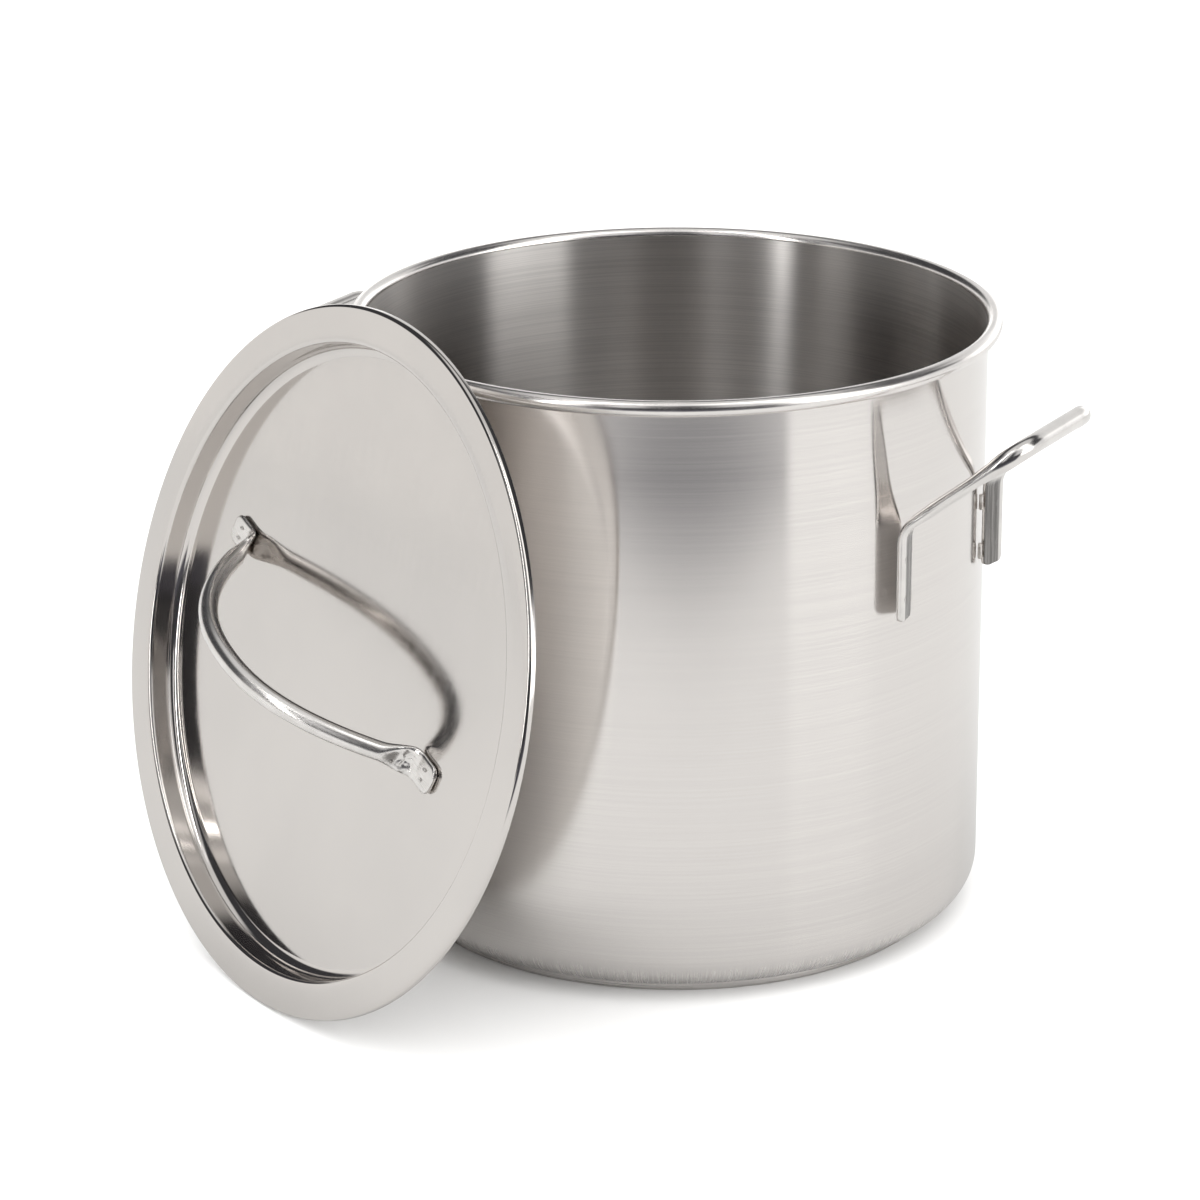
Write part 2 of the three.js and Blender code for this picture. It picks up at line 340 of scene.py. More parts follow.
def newShapeTree(name, sockets):
    tree = bpy.data.node_groups.new(name, "GeometryNodeTree")
    tree.interface.new_socket("Geometry", in_out="OUTPUT", socket_type="NodeSocketGeometry")
    for label, kind in sockets:
        tree.interface.new_socket(label, in_out="INPUT", socket_type="NodeSocket" + kind)
    given = put(tree, "NodeGroupInput")
    return tree, {label: given.outputs[label] for label, kind in sockets}


def closeTree(tree, geometry, material):
    # every tree ends the same way
    smooth = put(tree, "GeometryNodeSetShadeSmooth", {"Geometry": geometry})
    real = put(tree, "GeometryNodeRealizeInstances", {"Geometry": smooth.outputs[0]})
    coated = put(tree, "GeometryNodeSetMaterial", {"Geometry": real.outputs[0], "Material": material})
    output = put(tree, "NodeGroupOutput")
    tree.links.new(coated.outputs[0], output.inputs[0])


def stored(tree, geometry, name, value, kind="FLOAT_VECTOR", domain="POINT"):
    node = put(tree, "GeometryNodeStoreNamedAttribute", data_type=kind, domain=domain)
    feed(tree, node.inputs["Geometry"], geometry)
    feed(tree, node.inputs["Name"], name)
    feed(tree, node.inputs["Value"], value)
    return node.outputs[0]


def sampled(tree, geometry, value, index, kind="FLOAT_VECTOR"):
    node = put(tree, "GeometryNodeSampleIndex", data_type=kind, domain="POINT")
    feed(tree, node.inputs["Geometry"], geometry)
    feed(tree, node.inputs["Value"], value)
    feed(tree, node.inputs["Index"], index)
    return node.outputs[0]


def named(tree, name, kind="FLOAT_VECTOR"):
    node = put(tree, "GeometryNodeInputNamedAttribute", data_type=kind)
    node.inputs["Name"].default_value = name
    return node.outputs[0]


def unitGrid(tree, around, along):
    # a grid whose columns go round the piece and whose rows go along it
    grid = put(tree, "GeometryNodeMeshGrid", {"Size X": 1.0, "Size Y": 1.0})
    feed(tree, grid.inputs["Vertices X"], calc(tree, "ADD", around, 1.0))
    feed(tree, grid.inputs["Vertices Y"], along)
    place = put(tree, "ShaderNodeSeparateXYZ", {0: put(tree, "GeometryNodeInputPosition").outputs[0]})
    turn = calc(tree, "MULTIPLY", calc(tree, "ADD", place.outputs[0], 0.5), 2 * math.pi)
    last = calc(tree, "SUBTRACT", along, 1.0)
    row = calc(tree, "MULTIPLY", calc(tree, "ADD", place.outputs[1], 0.5), last)
    return grid, turn, calc(tree, "ROUND", row)


def makeTurnedTree():
    tree, given = newShapeTree("turnedSheet", [
        ("Outline", "Geometry"), ("Steps round", "Int"), ("Outline points", "Int"), ("Finish", "Material")])
    grid, turn, row = unitGrid(tree, given["Steps round"], given["Outline points"])
    place = put(tree, "GeometryNodeInputPosition").outputs[0]
    edge = put(tree, "ShaderNodeSeparateXYZ", {0: sampled(tree, given["Outline"], place, row)})
    wrapped = put(tree, "ShaderNodeCombineXYZ")
    feed(tree, wrapped.inputs[0], calc(tree, "MULTIPLY", edge.outputs[0], calc(tree, "COSINE", turn)))
    feed(tree, wrapped.inputs[1], calc(tree, "MULTIPLY", edge.outputs[0], calc(tree, "SINE", turn)))
    feed(tree, wrapped.inputs[2], edge.outputs[2])
    mesh = stored(tree, grid.outputs["Mesh"], "turn", grid.outputs["UV Map"], "FLOAT2", "CORNER")
    moved = put(tree, "GeometryNodeSetPosition", {"Geometry": mesh, "Position": wrapped.outputs[0]})
    closed = put(tree, "GeometryNodeMergeByDistance", {"Geometry": moved.outputs[0]})
    closed.inputs["Distance"].default_value = 0.002 * mm
    own = stored(tree, closed.outputs[0], "own", place)
    closeTree(tree, own, given["Finish"])
    return tree


# how the tube's flattened section is shaped
tabSection = {
    "endPower": 2.6,
    "endRoot": 0.385,
    "edgeRounding": 0.9 * mm,
    "squareness": 0.45,
    "creasePower": 2.2,
    "restingCrease": 0.45,
}


def makeTubeTree():
    tree, given = newShapeTree("tubeWithTabs", [
        ("Route", "Geometry"), ("Route points", "Int"), ("Sides", "Int"), ("Tube radius", "Float"),
        ("Tab half width", "Float"), ("Tab half thickness", "Float"), ("Opens from", "Float"),
        ("Opens to", "Float"), ("Opening", "Float"), ("Rounds from", "Float"), ("Rounds to", "Float"),
        ("End rounding", "Float"), ("Crease depth", "Float"),
        ("Pinch place", "Float"), ("Pinch length", "Float"), ("Pinch depth", "Float"),
        ("Finish", "Material")])
    grid, turn, row = unitGrid(tree, given["Sides"], given["Route points"])
    route = given["Route"]
    middle = sampled(tree, route, put(tree, "GeometryNodeInputPosition").outputs[0], row)
    thin = sampled(tree, route, named(tree, "thin"), row)
    wide = sampled(tree, route, named(tree, "wide"), row)
    fromEnd = sampled(tree, route, named(tree, "fromEnd", "FLOAT"), row, "FLOAT")
    # flat at the tab, partly open after the bend, and round from the shoulder on
    opened = calc(tree, "MULTIPLY", ramped(tree, fromEnd, given["Opens from"], given["Opens to"]),
                  given["Opening"])
    rounded = calc(tree, "MULTIPLY", ramped(tree, fromEnd, given["Rounds from"], given["Rounds to"]),
                   calc(tree, "SUBTRACT", 1.0, given["Opening"]))
    flat = calc(tree, "SUBTRACT", calc(tree, "SUBTRACT", 1.0, opened), rounded)
    # the tab's end is rounded in its plane, and its edge a little as well

    def left(length):
        return calc(tree, "SUBTRACT", 1.0, calc(tree, "MINIMUM", calc(tree, "DIVIDE", fromEnd, length), 1.0))

    rounding = calc(tree, "POWER", left(given["End rounding"]), tabSection["endPower"])
    narrowing = calc(tree, "POWER", calc(tree, "SUBTRACT", 1.0, rounding), tabSection["endRoot"])
    thinning = calc(tree, "SQRT", calc(tree, "SUBTRACT", 1.0,
                    calc(tree, "POWER", left(tabSection["edgeRounding"]), 2.0)))
    halfWidth = calc(tree, "ADD", given["Tube radius"], calc(tree, "MULTIPLY", flat,
                     calc(tree, "SUBTRACT", given["Tab half width"], given["Tube radius"])))
    halfThickness = calc(tree, "ADD", given["Tube radius"], calc(tree, "MULTIPLY", flat,
                         calc(tree, "SUBTRACT", given["Tab half thickness"], given["Tube radius"])))
    power = calc(tree, "SUBTRACT", 1.0, calc(tree, "MULTIPLY", flat, tabSection["squareness"]))

    def squared(value):
        return calc(tree, "MULTIPLY", calc(tree, "SIGN", value),
                    calc(tree, "POWER", calc(tree, "ABSOLUTE", value), power))

    across = squared(calc(tree, "COSINE", turn))
    up = squared(calc(tree, "SINE", turn))
    # the collapsed tube is hollow along its middle, deepest where it goes from round to flat
    bell = calc(tree, "POWER", calc(tree, "SUBTRACT", 1.0, calc(tree, "MULTIPLY", across, across)),
                tabSection["creasePower"])
    halfway = calc(tree, "MULTIPLY", calc(tree, "MULTIPLY", flat, calc(tree, "SUBTRACT", 1.0, flat)), 4.0)
    crease = calc(tree, "MULTIPLY", given["Crease depth"],
                  calc(tree, "MAXIMUM", halfway, calc(tree, "MULTIPLY", flat, tabSection["restingCrease"])))
    offset = calc(tree, "SUBTRACT", fromEnd, given["Pinch place"])
    offset = calc(tree, "DIVIDE", offset, given["Pinch length"])
    square = calc(tree, "MULTIPLY", offset, offset)
    pinch = calc(tree, "MULTIPLY", given["Pinch depth"],
                 calc(tree, "EXPONENT", calc(tree, "MULTIPLY", square, -1.0)))
    hollow = calc(tree, "SUBTRACT", 1.0, calc(tree, "MULTIPLY", bell, calc(tree, "ADD", crease, pinch)))
    sideways = calc(tree, "MULTIPLY", calc(tree, "MULTIPLY", halfWidth, narrowing), across)
    outwards = calc(tree, "MULTIPLY", calc(tree, "MULTIPLY", halfThickness, thinning),
                    calc(tree, "MULTIPLY", up, hollow))
    shifted = vectorCalc(tree, "ADD", scaled(tree, wide, sideways), scaled(tree, thin, outwards))
    placed = vectorCalc(tree, "ADD", middle, shifted)
    ownPlace = put(tree, "ShaderNodeCombineXYZ", {0: sideways, 1: outwards, 2: fromEnd})
    mesh = stored(tree, grid.outputs["Mesh"], "turn", grid.outputs["UV Map"], "FLOAT2", "CORNER")
    mesh = stored(tree, mesh, "own", ownPlace.outputs[0])
    moved = put(tree, "GeometryNodeSetPosition", {"Geometry": mesh, "Position": placed})
    closed = put(tree, "GeometryNodeMergeByDistance", {"Geometry": moved.outputs[0], "Distance": 0.01 * mm})
    closeTree(tree, closed.outputs[0], given["Finish"])
    return tree


def makeBeadTree():
    tree, given = newShapeTree("weldBeads", [
        ("Seams", "Geometry"), ("Ripples", "Int"), ("Bead radius", "Float"), ("Seed", "Int"),
        ("Finish", "Material")])
    line = put(tree, "GeometryNodeMeshToCurve", {"Mesh": given["Seams"]})
    spots = put(tree, "GeometryNodeResampleCurve", {"Curve": line.outputs[0], "Count": given["Ripples"]})
    drop = put(tree, "GeometryNodeMeshUVSphere", {"Segments": 14, "Rings": 8})
    feed(tree, drop.inputs["Radius"], given["Bead radius"])
    size = put(tree, "FunctionNodeRandomValue", data_type="FLOAT_VECTOR")
    size.inputs[0].default_value = (0.82, 0.82, 0.62)
    size.inputs[1].default_value = (1.0, 1.0, 0.8)
    feed(tree, size.inputs["Seed"], given["Seed"])
    beads = put(tree, "GeometryNodeInstanceOnPoints", {
        "Points": spots.outputs[0], "Instance": drop.outputs[0], "Scale": size.outputs[0]})
    closeTree(tree, beads.outputs[0], given["Finish"])
    return tree


turnedTree = makeTurnedTree()
tubeTree = makeTubeTree()
beadTree = makeBeadTree()


def madeWith(tree, name, source, values):
    # runs the tree on the source mesh and keeps the result as a plain object
    seed = bpy.data.objects.new(name + "Source", source)
    bpy.context.scene.collection.objects.link(seed)
    modifier = seed.modifiers.new("shape", "NODES")
    modifier.node_group = tree
    for item in tree.interface.items_tree:
        if item.in_out == "INPUT" and item.name in values:
            modifier[item.identifier] = values[item.name]
    evaluated = seed.evaluated_get(bpy.context.evaluated_depsgraph_get())
    mesh = bpy.data.meshes.new_from_object(evaluated)
    mesh.name = name
    mesh.materials.clear()
    mesh.materials.append(values["Finish"])
    for face in mesh.polygons:
        face.material_index = 0
    bpy.data.objects.remove(seed)
    made = bpy.data.objects.new(name, mesh)
    bpy.context.scene.collection.objects.link(made)
    return made


def sourceMesh(name, points, vectors=None, numbers=None, edges=None):
    mesh = bpy.data.meshes.new(name)
    if edges is None:
        edges = [(i, i + 1) for i in range(len(points) - 1)]
    mesh.from_pydata([tuple(p) for p in points], edges, [])
    for label, values in (vectors or {}).items():
        layer = mesh.attributes.new(label, "FLOAT_VECTOR", "POINT")
        for i, value in enumerate(values):
            layer.data[i].vector = value
    for label, values in (numbers or {}).items():
        layer = mesh.attributes.new(label, "FLOAT", "POINT")
        for i, value in enumerate(values):
            layer.data[i].value = value
    return mesh


# turned sheets: pot shell and base cap

def arc(x, z, radius, start, end, steps):
    points = []
    for i in range(steps + 1):
        angle = math.radians(start + (end - start) * i / steps)
        points.append(Vector((x + radius * math.cos(angle), z + radius * math.sin(angle))))
    return points


def sheetOutline(middle, thickness):
    # both faces of a bent sheet, from its middle line
    front, back = [], []
    for i, point in enumerate(middle):
        ahead = middle[min(i + 1, len(middle) - 1)] - middle[max(i - 1, 0)]
        ahead.normalize()
        side = Vector((ahead.y, -ahead.x)) * thickness / 2
        if i == 0:
            side = Vector((0, -thickness / 2))
        front.append(point + side)
        back.append(point - side)
    return front + back[::-1]


def evenly(start, end, steps):
    return [start.lerp(end, i / steps) for i in range(1, steps)]


def turnedSheet(name, middle, thickness, steps, finish):
    outline = [Vector((p.x * mm, 0, p.y * mm)) for p in sheetOutline(middle, thickness)]
    made = madeWith(turnedTree, name, sourceMesh(name + "Outline", outline), {
        "Steps round": steps, "Outline points": len(outline), "Finish": finish})
    made.data.set_sharp_from_angle(angle=math.radians(35))
    return made


potSizes = {
    "wallRadius": 140,
    "height": 277.5,
    "sheet": 0.8,
    "baseHeight": 4.8,
    "cornerRadius": 17,
    "beadRadius": 3.5,
    "beadOpening": 55,
    "capRadius": 124.5,
    "capEdgeRadius": 2,
    "gap": 0.3,
    "stepsRound": 240,
    "rimMargin": 0.5,
    "rimInside": 4,
    "cornerMarked": 0.82,  # share of the corner's height
}


def makePot(s):
    half = s["sheet"] / 2
    wall = s["wallRadius"] - half
    bend = s["cornerRadius"] - half
    bottom = s["baseHeight"] + half
    roll = s["beadRadius"] - half
    corner = arc(wall - bend, bottom + bend, bend, -90, 0, 16)
    bead = arc(wall + roll, s["height"] - s["beadRadius"], roll, 180, s["beadOpening"] - 180, 36)
    middle = [Vector((0, bottom))]
    middle += evenly(middle[0], corner[0], 6) + corner
    middle += evenly(corner[-1], bead[0], 8) + bead
    pot = turnedSheet("stockPotShell", middle, s["sheet"], s["stepsRound"], outsideSteel)
    for finish in (insideSteel, cornerSteel, rimSteel):
        pot.data.materials.append(finish)
    beadLow = (s["height"] - 2 * s["beadRadius"] - s["rimMargin"]) * mm
    rimInside = beadLow + s["rimInside"] * mm
    cornerTop = (s["baseHeight"] + s["cornerRadius"] * s["cornerMarked"]) * mm
    for face in pot.data.polygons:
        reach = math.hypot(face.center.x, face.center.y) / mm
        inwards = face.normal.x * face.center.x + face.normal.y * face.center.y < 0
        if face.center.z > beadLow and (reach > s["wallRadius"] + 0.05 or face.center.z > rimInside):
            face.material_index = 3
        elif inwards and face.center.z > (s["baseHeight"] + s["sheet"]) * mm or face.normal.z > 0.7:
            face.material_index = 1
        elif face.center.z < cornerTop:
            face.material_index = 2
    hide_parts("pot_body")
    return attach(pot, "pot")


def makeCap(s):
    half = s["sheet"] / 2
    bend = s["capEdgeRadius"] - half
    edge = arc(s["capRadius"] - s["capEdgeRadius"], s["capEdgeRadius"], bend, -90, 0, 8)
    middle = [Vector((0, half))]
    middle += evenly(middle[0], edge[0], 6) + edge
    middle.append(Vector((s["capRadius"] - half, s["baseHeight"] - s["gap"])))
    cap = turnedSheet("baseCap", middle, s["sheet"], s["stepsRound"], capSteel)
    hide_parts("base_cap")
    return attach(cap, "pot")


makePot(potSizes)
makeCap(potSizes)
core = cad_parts["base_core"]
core.data.materials.clear()
core.data.materials.append(coreMetal)
print("pot and base made")


# lifting handles

handleSizes = {
    "tubeRadius": 4.3,
    "tabHalfWidth": 6.7,
    "tabHalfThickness": 1.9,
    "tabBottom": 168,
    "tabTop": 210,
    "tabReach": 138.7,
    "tabSpread": 43,
    "gripReach": 188.3,
    "gripSpread": 35,
    "gripRise": 39.7,
    "tabBend": 12,
    "gripBend": 16,
    "opens": (36, 62),
    "opening": 0.58,
    "rounds": (74, 98),
    "endRounding": 3.2,
    "creaseDepth": 0.34,
    "sides": 28,
    "step": 1.6,
}


def roundedRoute(corners, radii):
    # straight stretches joined by circular bends, as one line of close points
    points = [corners[0]]
    for before, corner, after, radius in zip(corners, corners[1:], corners[2:], radii):
        inwards = (corner - before).normalized()
        onwards = (after - corner).normalized()
        half = inwards.angle(onwards) / 2
        start = corner - inwards * radius * math.tan(half)
        across = (onwards - inwards * inwards.dot(onwards)).normalized()
        for i in range(13):
            turn = 2 * half * i / 12
            aside = across * radius * (1 - math.cos(turn))
            points.append(start + inwards * radius * math.sin(turn) + aside)
    points.append(corners[-1])
    return points


def respaced(points, step, ends):
    # the same line with even steps, and closer ones at its two ends
    lengths = [0.0]
    for a, b in zip(points, points[1:]):
        lengths.append(lengths[-1] + (b - a).length)
    total = lengths[-1]
    count = round((total - 2 * ends[-1]) / step)
    inner = [ends[-1] + (total - 2 * ends[-1]) * i / count for i in range(1, count)]
    wanted = ends + inner + [total - e for e in reversed(ends)]
    made, leg = [], 0
    for at in wanted:
        while leg < len(lengths) - 2 and lengths[leg + 1] < at:
            leg += 1
        share = (at - lengths[leg]) / (lengths[leg + 1] - lengths[leg])
        made.append(points[leg].lerp(points[leg + 1], share))
    return made, wanted, total


endSteps = [0.0, 0.06, 0.2, 0.45, 0.8, 1.3, 1.9, 2.6, 3.5, 4.6]


def tubeOn(name, line, facing, sizes, finish, pinch=(0.0, 1.0, 0.0)):
    places, lengths, total = respaced(line, sizes["step"], endSteps)
    thin, wide = [], []
    side = Vector(facing)
    for i, place in enumerate(places):
        ahead = (places[min(i + 1, len(places) - 1)] - places[max(i - 1, 0)]).normalized()
        side = (side - ahead * side.dot(ahead)).normalized()
        thin.append(side.copy())
        wide.append(side.cross(ahead))
    route = sourceMesh(name + "Route", [p * mm for p in places], {"thin": thin, "wide": wide}, {
        "fromEnd": [min(at, total - at) * mm for at in lengths]})
    return madeWith(tubeTree, name, route, {
        "Route points": len(places), "Sides": sizes["sides"], "Tube radius": sizes["tubeRadius"] * mm,
        "Tab half width": sizes["tabHalfWidth"] * mm, "Tab half thickness": sizes["tabHalfThickness"] * mm,
        "Opens from": sizes["opens"][0] * mm, "Opens to": sizes["opens"][1] * mm,
        "Opening": sizes["opening"],
        "Rounds from": sizes["rounds"][0] * mm, "Rounds to": sizes["rounds"][1] * mm,
        "End rounding": sizes["endRounding"] * mm, "Crease depth": sizes["creaseDepth"],
        "Pinch place": pinch[0] * mm, "Pinch length": pinch[1] * mm, "Pinch depth": pinch[2],
        "Finish": finish})


def makeLiftingHandle(side, turn, s):
    corners = [
        Vector((s["tabReach"], -s["tabSpread"], s["tabBottom"])),
        Vector((s["tabReach"], -s["tabSpread"], s["tabTop"])),
        Vector((s["gripReach"], -s["gripSpread"], s["tabTop"] + s["gripRise"])),
        Vector((s["gripReach"], s["gripSpread"], s["tabTop"] + s["gripRise"])),
        Vector((s["tabReach"], s["tabSpread"], s["tabTop"])),
        Vector((s["tabReach"], s["tabSpread"], s["tabBottom"])),
    ]
    line = roundedRoute(corners, [s["tabBend"], s["gripBend"], s["gripBend"], s["tabBend"]])
    facing = corners[2] - corners[1]
    facing.z = 0
    handle = tubeOn("liftingHandle" + side, line, facing, s, tubeSteel)
    handle.data.transform(Matrix.Rotation(turn, 4, "Z"))
    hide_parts("side_handle_" + side.lower())
    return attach(handle, "pot")


makeLiftingHandle("Right", 0.0, handleSizes)
makeLiftingHandle("Left", math.pi, handleSizes)
print("lifting handles made")


# lid panel and its handle

lidSizes = {
    "sheet": 0.9,
    "radius": 154.8,
    "lipDepth": 3.3,
    "lipBend": 1.8,
    "stepRadius": 137.8,
    "recessDepth": 13.5,
    "recessFillet": 5,
    "flangeBend": 2,
    "lean": 13.9,
    "side": -23.8,
    "stepsRound": 240,
    "lipFrom": 145,  # outside this radius an inward face is the back of the lip
    "lipUnder": 1.5,
}


def lidPlace(s, p):
    # the lid's own frame: its outside face's normal along Z, level along X
    side, lean = math.radians(s["side"]), math.radians(s["lean"])
    outwards = Vector((math.sin(side), -math.cos(side), 0))
    normal = outwards * math.cos(lean) + Vector((0, 0, math.sin(lean)))
    level = Vector((math.cos(side), math.sin(side), 0))
    upwards = normal.cross(level)
    beadReach = p["wallRadius"] - p["sheet"] + p["beadRadius"]
    beadTop = p["height"] - p["beadRadius"]
    support = math.cos(lean) * beadReach + math.sin(lean) * beadTop + p["beadRadius"]
    distance = support + p["gap"] + s["recessDepth"] + s["sheet"]
    height = s["radius"] * math.cos(lean) + s["lipDepth"] * math.sin(lean)
    reach = (distance - math.sin(lean) * height) / math.cos(lean)
    centre = (outwards * reach + Vector((0, 0, height))) * mm
    turned = Matrix((level, upwards, normal)).transposed().to_4x4()
    return Matrix.Translation(centre) @ turned


def makeLidPanel(s):
    half = s["sheet"] / 2
    fillet = s["recessFillet"] + half
    step = s["stepRadius"] + half
    flange = s["flangeBend"] - half
    lip = s["lipBend"] - half
    middle = [Vector((0, -s["recessDepth"] - half))]
    inner = arc(step - fillet, fillet - s["recessDepth"] - half, fillet, -90, 0, 12)
    outer = arc(step + flange, -s["flangeBend"], flange, 180, 90, 8)
    edge = arc(s["radius"] - s["lipBend"], -s["lipBend"], lip, 90, 0, 8)
    middle += evenly(middle[0], inner[0], 10) + inner + outer + evenly(outer[-1], edge[0], 3) + edge
    middle.append(Vector((s["radius"] - half, -s["lipDepth"])))
    panel = turnedSheet("lidPanel", middle, s["sheet"], s["stepsRound"], lidSteel)
    panel.data.materials.append(litLidBackSteel)
    # the lid's back and the back of the lip take the satin finish with painted light
    for face in panel.data.polygons:
        inwards = face.normal.x * face.center.x + face.normal.y * face.center.y < 0
        underLip = face.center.z < -s["lipUnder"] * mm and face.center.xy.length > s["lipFrom"] * mm
        if face.normal.z < -0.2 or (inwards and underLip):
            face.material_index = 1
    panel.data.transform(lidFrame)
    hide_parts("lid_panel")
    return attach(panel, "lid")


lidHandleSizes = {
    "tubeRadius": 4.3,
    "tabHalfWidth": 6.9,
    "tabHalfThickness": 1.2,
    "span": 163,
    "height": 51.4,
    "power": 2.24,
    "tilt": -6,
    "turn": -19.4,
    "shift": -9,
    "tabLength": 16,
    "opens": (17, 32),
    "opening": 1.0,
    "rounds": (32, 33),
    "endRounding": 5.0,
    "creaseDepth": 0.3,
    "sides": 28,
    "step": 1.6,
    "pinchReach": 4.0,
    "pinchLength": 3.6,
    "pinchDepth": 0.85,
    "spotRadius": 0.9,
    "spotHeight": 0.4,
}


def splinePoints(points, steps):
    # a smooth line through the points
    line = []
    for i in range(len(points) - 1):
        before = points[i - 1] if i else points[i] * 2 - points[i + 1]
        after = points[i + 2] if i + 2 < len(points) else points[i + 1] * 2 - points[i]
        spans = [max((b - a).length, 1e-6) ** 0.5 for a, b in
                 ((before, points[i]), (points[i], points[i + 1]), (points[i + 1], after))]
        slopeA = ((points[i] - before) / spans[0] - (points[i + 1] - before) / (spans[0] + spans[1])
                  + (points[i + 1] - points[i]) / spans[1]) * spans[1]
        slopeB = ((points[i + 1] - points[i]) / spans[1] - (after - points[i]) / (spans[1] + spans[2])
                  + (after - points[i + 1]) / spans[2]) * spans[1]
        for j in range(steps):
            t = j / steps
            line.append(points[i] * (2 * t**3 - 3 * t**2 + 1) + slopeA * (t**3 - 2 * t**2 + t)
                        + points[i + 1] * (3 * t**2 - 2 * t**3) + slopeB * (t**3 - t**2))
    line.append(points[-1])
    return line


def makeLidHandle(s):
    half = s["span"] / 2
    foot = s["tabHalfThickness"] + potSizes["gap"]
    lean = math.radians(s["tilt"])
    tab = [s["tabLength"] * share for share in (1, 0.5, 0.18)]
    points = [Vector((-half - reach, 0, foot)) for reach in tab]
    for i in range(1, 24):
        x = -half * math.cos(math.pi * i / 24)
        rise = s["height"] * (1 - abs(x / half) ** s["power"])
        points.append(Vector((x, rise * math.sin(lean), foot + rise * math.cos(lean))))
    points += [Vector((half + reach, 0, foot)) for reach in reversed(tab)]
    handle = tubeOn("lidHandle", splinePoints(points, 8), (0, 0, 1), s, satinTubeSteel,
                    (s["tabLength"] + s["pinchReach"], s["pinchLength"], s["pinchDepth"]))
    handle.data.transform(handleFrame)
    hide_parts("lid_handle")
    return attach(handle, "lid")


lidFrame = lidPlace(lidSizes, potSizes)
handleTurn = math.radians(lidHandleSizes["turn"])
handleMiddle = Vector((lidHandleSizes["shift"] * math.cos(handleTurn),
                       lidHandleSizes["shift"] * math.sin(handleTurn), -lidSizes["recessDepth"])) * mm
handleFrame = lidFrame @ Matrix.Translation(handleMiddle) @ Matrix.Rotation(handleTurn, 4, "Z")
makeLidPanel(lidSizes)
makeLidHandle(lidHandleSizes)
print("lid made")


# welds

weldSizes = {
    "heights": [176, 199],
    "radius": 1.1,
    "length": 6,
    "ripples": 13,
    "seed": 4,
}


def makeHandleWelds(s, h, p):
    spread = h["tabSpread"] - h["tabHalfWidth"] - s["radius"] - 2 * p["gap"]
    reach = math.sqrt((p["wallRadius"] + s["radius"] + p["gap"]) ** 2 - spread**2)
    points, edges, nodes = [], [], []
    for turn, side in ((0.0, "right"), (math.pi, "left")):
        spin = Matrix.Rotation(turn, 3, "Z")
        for y in (-spread, spread):
            for height in s["heights"]:
                low = Vector((reach, y, height - s["length"] / 2)) * mm
                high = Vector((reach, y, height + s["length"] / 2)) * mm
                edges.append((len(points), len(points) + 1))
                points += [spin @ low, spin @ high]
        nodes += [f"weld_{side}_{i}" for i in (1, 2, 3, 4)]
    welds = madeWith(beadTree, "handleWelds", sourceMesh("handleSeams", points, edges=edges), {
        "Ripples": s["ripples"], "Bead radius": s["radius"] * mm, "Seed": s["seed"], "Finish": weldSteel})
    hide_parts(*nodes)
    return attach(welds, "pot")


def makeLidWelds(h, p):
    points, edges, nodes = [], [], []
    top = 2 * h["tabHalfThickness"] + p["gap"] + h["spotHeight"] * 0.2
    for end in (-1, 1):
        for side in (-1, 1):
            middle = Vector((end * (h["span"] / 2 + h["tabLength"] * 0.55), side * 2.6, top))
            edges.append((len(points), len(points) + 1))
            points += [(middle + Vector((0.3, 0, 0))) * mm, (middle - Vector((0.3, 0, 0))) * mm]
            nodes.append(f"lid_weld_{len(nodes) + 1}")
    welds = madeWith(beadTree, "lidSpotWelds", sourceMesh("lidSpots", points, edges=edges), {
        "Ripples": 2, "Bead radius": h["spotRadius"] * mm, "Seed": 9, "Finish": spotSteel})
    welds.data.transform(handleFrame)
    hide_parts(*nodes)
    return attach(welds, "lid")


makeHandleWelds(weldSizes, handleSizes, potSizes)
makeLidWelds(lidHandleSizes, potSizes)
print("welds made")


# studio and camera

studio = {
    "base": (0.055, 0.055, 0.06),
    "toCamera": (0.985, 0.985, 0.985),
    # direction and half width round the pot, from -Y towards +X; lowest and highest; softness; glow
    "panels": [
        (-88, 58, -40, 9, 5, (1.0, 0.99, 0.97)),
        (88, 13, -30, 18, 6, (1.6, 1.6, 1.58)),
        (89, 15, 6, 75, 5, (1.8, 1.8, 1.78)),
        (142, 50, -30, 14, 10, (0.9, 0.9, 0.9)),
        (188, 32, -30, 33, 7, (0.85, 0.85, 0.84)),
        (-12, 1.9, 5, 75, 2, (8.0, 8.0, 7.95)),
        (-36, 4.0, 15, 75, 4, (0.5, 0.5, 0.5)),
        (12, 4.0, 20, 75, 3, (1.15, 1.15, 1.15)),
        (60, 12, 25, 75, 6, (0.75, 0.75, 0.75)),
        (0, 180, 64, 90, 12, (0.8, 0.8, 0.79)),
    ],
    "floorHalf": 5,
    # the floor's colour, and its colour in reflections
    "floorColor": (0.82, 0.82, 0.815), "floorMirrored": (0.525, 0.525, 0.521),
    "overheadPower": 22.0,
    # the front sky: heading, height, how far it spreads, and its glow in front and behind
    "skyHeading": 30.0, "skyTilt": 42.0, "skySpread": (-0.5, 0.5),
    "skyGlow": 2.1, "skyBehind": 0.35,
    "skyRadius": 7.5,
    # the unlit part of the room in front: start and end round the pot, where it begins and is full
    "dimFrom": 3, "dimTo": 66, "dimSoft": 5, "dimStart": 0.57, "dimFull": 0.95, "dimBow": 0.15,
    "dimColor": (0.1, 0.1, 0.12), "dimHalf": 6, "dimLift": 0.4 * mm,
    "overheadSize": 5.5,
    "overheadHeight": 2.9,
}


